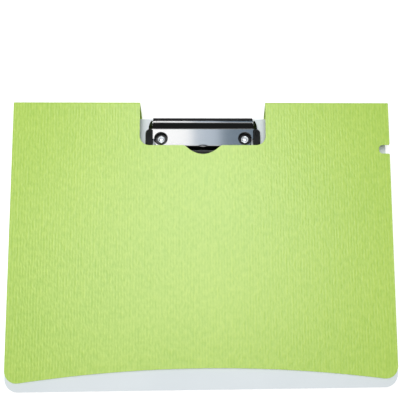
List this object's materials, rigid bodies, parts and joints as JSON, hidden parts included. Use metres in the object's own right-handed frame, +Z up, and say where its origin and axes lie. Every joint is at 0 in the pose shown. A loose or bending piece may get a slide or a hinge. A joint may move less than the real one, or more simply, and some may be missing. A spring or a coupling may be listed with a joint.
{
  "type": "double clipboard",
  "caption": "Landscape clipboard with a stiff back board, a creased plastic cover that folds over it, and a low spring clip seen through a window in the fold.",
  "frame": {"origin": "centre of the bounding box at the underside of the back flap", "axes": "+X along the fold, +Y from the open end towards the fold, +Z up out of the board's writing side"},
  "size_m": [0.317, 0.237, 0.0184],
  "materials": {
    "cover": "fine ribbed, satin",
    "board": "satin",
    "base_plate": "gloss black enamel",
    "lever": "mirror-gloss black plating",
    "bright_steel": "bright plated",
    "spring_steel": "plain drawn wire",
    "grip": "matt"
  },
  "bodies": {
    "back": {"board": "board", "cover_back_flap": "cover", "clip_base_plate": "base_plate", "pivot_rod": "bright_steel", "torsion_spring_left": "spring_steel", "torsion_spring_right": "spring_steel", "rivet_left": "bright_steel", "rivet_right": "bright_steel"},
    "spine": {"cover_spine_left": "cover", "cover_spine_right": "cover"},
    "front_cover": {"cover_front_panel": "cover"},
    "lever": {"clip_lever": "lever", "grip_left": "grip", "grip_right": "grip"}
  },
  "joints": [
    {"name": "back_crease", "type": "hinge", "parent": "back", "child": "spine", "pos_m": [0, 0.10917, 0.0005], "axis": [-1, 0, 0], "range_deg": [0, 180]},
    {"name": "front_crease", "type": "hinge", "parent": "spine", "child": "front_cover", "pos_m": [0, 0.11803, 0.01787], "axis": [-1, 0, 0], "range_deg": [0, 180]},
    {"name": "clip_lever_pivot", "type": "hinge", "parent": "back", "child": "lever", "pos_m": [0, 0.10337, 0.0061], "axis": [-1, 0, 0], "range_deg": [0, 16], "stiffness_Nm_per_rad": 0.35, "springref_deg": -20.05, "deforming": ["torsion_spring_left", "torsion_spring_right"]}
  ]
}
